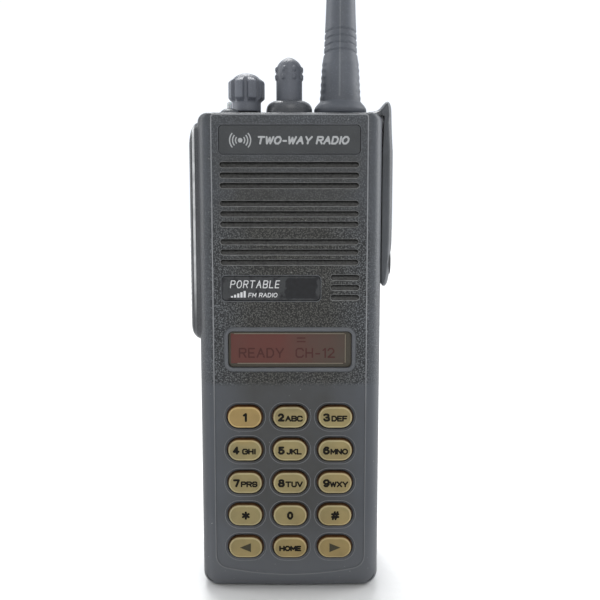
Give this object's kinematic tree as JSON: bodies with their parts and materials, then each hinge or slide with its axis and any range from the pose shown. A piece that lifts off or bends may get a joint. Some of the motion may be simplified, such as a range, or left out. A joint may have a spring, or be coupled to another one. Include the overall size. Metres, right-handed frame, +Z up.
{
  "type": "two-way radio",
  "caption": "Handheld two-way radio: slotted speaker grille, display, full keypad, two top knobs, side push-to-talk bar, screw-on whip antenna and swing-off battery.",
  "frame": {"origin": "middle of the case's width on the underside of the rear chassis, where the radio stands", "axes": "+Z up along the antenna, -Y out of the keypad and grille, +X to the viewer's right when facing the keypad"},
  "size_m": [0.0685, 0.0436, 0.312],
  "materials": {
    "casing": "satin, fine grain",
    "rubber": "matt",
    "whip": "matt",
    "knob": "matt",
    "key": "satin, khaki gold",
    "alloy": "satin black paint on cast alloy",
    "brass": "plated",
    "steel": "satin",
    "plate": "satin",
    "lens": "clear over dim red",
    "board": "solder mask",
    "felt": "matt",
    "lamp": "milky",
    "orange": "satin",
    "cells": "sleeved"
  },
  "bodies": {
    "case": {"front_housing": "casing", "main_seal": "rubber", "rear_chassis": "alloy", "top_panel": "casing", "name_plate": "plate", "model_plate": "plate", "display_lens": "lens", "display_module": "lens", "speaker_felt": "felt", "speaker": "steel", "microphone": "steel", "keypad_mat": "rubber", "main_board": "board", "rf_board": "board", "rf_shield": "steel", "select_switch": "steel", "volume_switch": "steel", "antenna_socket": "brass", "lamp_lens": "lamp", "contact_block": "brass", "side_switch_strip": "felt", "accessory_port": "brass", "chassis_screw_1": "steel", "chassis_screw_2": "steel", "chassis_screw_3": "steel", "chassis_screw_4": "steel", "volume_collar": "rubber", "side_grip": "rubber"},
    "key_1": {"key_1": "key"},
    "key_2": {"key_2": "key"},
    "key_3": {"key_3": "key"},
    "key_4": {"key_4": "key"},
    "key_5": {"key_5": "key"},
    "key_6": {"key_6": "key"},
    "key_7": {"key_7": "key"},
    "key_8": {"key_8": "key"},
    "key_9": {"key_9": "key"},
    "key_star": {"key_star": "key"},
    "key_0": {"key_0": "key"},
    "key_hash": {"key_hash": "key"},
    "key_left": {"key_left": "key"},
    "key_home": {"key_home": "key"},
    "key_right": {"key_right": "key"},
    "select_knob": {"select_knob": "knob"},
    "zone_ring": {"zone_ring": "rubber"},
    "volume_knob": {"volume_knob": "knob"},
    "toggle_lever": {"toggle_lever": "steel"},
    "emergency_button": {"emergency_button": "orange"},
    "antenna_stud": {"antenna_stud": "brass"},
    "antenna_whip": {"antenna_whip": "whip"},
    "ptt_bar": {"ptt_bar": "rubber"},
    "side_button_top": {"side_button_top": "rubber"},
    "side_button_middle": {"side_button_middle": "rubber"},
    "side_button_lower": {"side_button_lower": "rubber"},
    "port_cover": {"port_cover": "casing"},
    "cover_screw": {"cover_screw": "steel"},
    "battery": {"battery_shell": "casing", "battery_face": "casing", "cell_pack": "cells"},
    "battery_latch": {"battery_latch": "casing"}
  },
  "joints": [
    {"name": "key_1_press", "type": "slide", "parent": "case", "child": "key_1", "axis": [0, 1, 0], "range_m": [0, 0.0008], "stiffness_N_per_m": 1500, "springref_m": -0.0003},
    {"name": "key_2_press", "type": "slide", "parent": "case", "child": "key_2", "axis": [0, 1, 0], "range_m": [0, 0.0008], "stiffness_N_per_m": 1500, "springref_m": -0.0003},
    {"name": "key_3_press", "type": "slide", "parent": "case", "child": "key_3", "axis": [0, 1, 0], "range_m": [0, 0.0008], "stiffness_N_per_m": 1500, "springref_m": -0.0003},
    {"name": "key_4_press", "type": "slide", "parent": "case", "child": "key_4", "axis": [0, 1, 0], "range_m": [0, 0.0008], "stiffness_N_per_m": 1500, "springref_m": -0.0003},
    {"name": "key_5_press", "type": "slide", "parent": "case", "child": "key_5", "axis": [0, 1, 0], "range_m": [0, 0.0008], "stiffness_N_per_m": 1500, "springref_m": -0.0003},
    {"name": "key_6_press", "type": "slide", "parent": "case", "child": "key_6", "axis": [0, 1, 0], "range_m": [0, 0.0008], "stiffness_N_per_m": 1500, "springref_m": -0.0003},
    {"name": "key_7_press", "type": "slide", "parent": "case", "child": "key_7", "axis": [0, 1, 0], "range_m": [0, 0.0008], "stiffness_N_per_m": 1500, "springref_m": -0.0003},
    {"name": "key_8_press", "type": "slide", "parent": "case", "child": "key_8", "axis": [0, 1, 0], "range_m": [0, 0.0008], "stiffness_N_per_m": 1500, "springref_m": -0.0003},
    {"name": "key_9_press", "type": "slide", "parent": "case", "child": "key_9", "axis": [0, 1, 0], "range_m": [0, 0.0008], "stiffness_N_per_m": 1500, "springref_m": -0.0003},
    {"name": "key_star_press", "type": "slide", "parent": "case", "child": "key_star", "axis": [0, 1, 0], "range_m": [0, 0.0008], "stiffness_N_per_m": 1500, "springref_m": -0.0003},
    {"name": "key_0_press", "type": "slide", "parent": "case", "child": "key_0", "axis": [0, 1, 0], "range_m": [0, 0.0008], "stiffness_N_per_m": 1500, "springref_m": -0.0003},
    {"name": "key_hash_press", "type": "slide", "parent": "case", "child": "key_hash", "axis": [0, 1, 0], "range_m": [0, 0.0008], "stiffness_N_per_m": 1500, "springref_m": -0.0003},
    {"name": "key_left_press", "type": "slide", "parent": "case", "child": "key_left", "axis": [0, 1, 0], "range_m": [0, 0.0008], "stiffness_N_per_m": 1500, "springref_m": -0.0003},
    {"name": "key_home_press", "type": "slide", "parent": "case", "child": "key_home", "axis": [0, 1, 0], "range_m": [0, 0.0008], "stiffness_N_per_m": 1500, "springref_m": -0.0003},
    {"name": "key_right_press", "type": "slide", "parent": "case", "child": "key_right", "axis": [0, 1, 0], "range_m": [0, 0.0008], "stiffness_N_per_m": 1500, "springref_m": -0.0003},
    {"name": "select_knob_turn", "type": "hinge", "parent": "case", "child": "select_knob", "pos_m": [-0.0148, -0.0045, 0.163], "axis": [0, 0, 1], "range_deg": [0, 337.5]},
    {"name": "zone_ring_turn", "type": "hinge", "parent": "case", "child": "zone_ring", "pos_m": [-0.0148, -0.0045, 0.163], "axis": [0, 0, 1], "range_deg": [0, 40]},
    {"name": "volume_knob_turn", "type": "hinge", "parent": "case", "child": "volume_knob", "pos_m": [-0.0003, -0.0045, 0.163], "axis": [0, 0, 1], "range_deg": [0, 280]},
    {"name": "toggle_lever_tilt", "type": "hinge", "parent": "case", "child": "toggle_lever", "pos_m": [0, 0.0066, 0.1605], "axis": [0, 1, 0], "range_deg": [-15, 15]},
    {"name": "emergency_button_press", "type": "slide", "parent": "case", "child": "emergency_button", "axis": [0, 0, -1], "range_m": [0, 0.0012], "stiffness_N_per_m": 2000, "springref_m": -0.0003},
    {"name": "antenna_lift", "type": "slide", "parent": "case", "child": "antenna_stud", "axis": [0, 0, 1], "range_m": [0, 0.008]},
    {"name": "antenna_turn", "type": "hinge", "parent": "antenna_stud", "child": "antenna_whip", "pos_m": [0.01705, -0.0045, 0.163], "axis": [0, 0, 1], "range_deg": [0, 2890]},
    {"name": "ptt_bar_press", "type": "slide", "parent": "case", "child": "ptt_bar", "axis": [1, 0, 0], "range_m": [0, 0.001], "stiffness_N_per_m": 2500, "springref_m": -0.0004},
    {"name": "side_button_top_press", "type": "slide", "parent": "case", "child": "side_button_top", "axis": [1, 0, 0], "range_m": [0, 0.0008], "stiffness_N_per_m": 1500, "springref_m": -0.0003},
    {"name": "side_button_middle_press", "type": "slide", "parent": "case", "child": "side_button_middle", "axis": [1, 0, 0], "range_m": [0, 0.0008], "stiffness_N_per_m": 1500, "springref_m": -0.0003},
    {"name": "side_button_lower_press", "type": "slide", "parent": "case", "child": "side_button_lower", "axis": [1, 0, 0], "range_m": [0, 0.0008], "stiffness_N_per_m": 1500, "springref_m": -0.0003},
    {"name": "port_cover_lift_off", "type": "slide", "parent": "case", "child": "port_cover", "axis": [1, 0, 0], "range_m": [0, 0.012]},
    {"name": "cover_screw_turn", "type": "hinge", "parent": "port_cover", "child": "cover_screw", "pos_m": [0.0335, -0.009, 0.113], "axis": [1, 0, 0], "continuous": true},
    {"name": "battery_swing", "type": "hinge", "parent": "case", "child": "battery", "pos_m": [0, 0.0044, 0.1175], "axis": [1, 0, 0], "range_deg": [0, 30]},
    {"name": "battery_latch_slide", "type": "slide", "parent": "battery", "child": "battery_latch", "axis": [0, 1, 0], "range_m": [0, 0.002], "stiffness_N_per_m": 800, "springref_m": -0.001}
  ],
  "couplings": [
    {"joint": "antenna_turn", "follows": "antenna_lift", "rad_per_m": 6283.2}
  ]
}
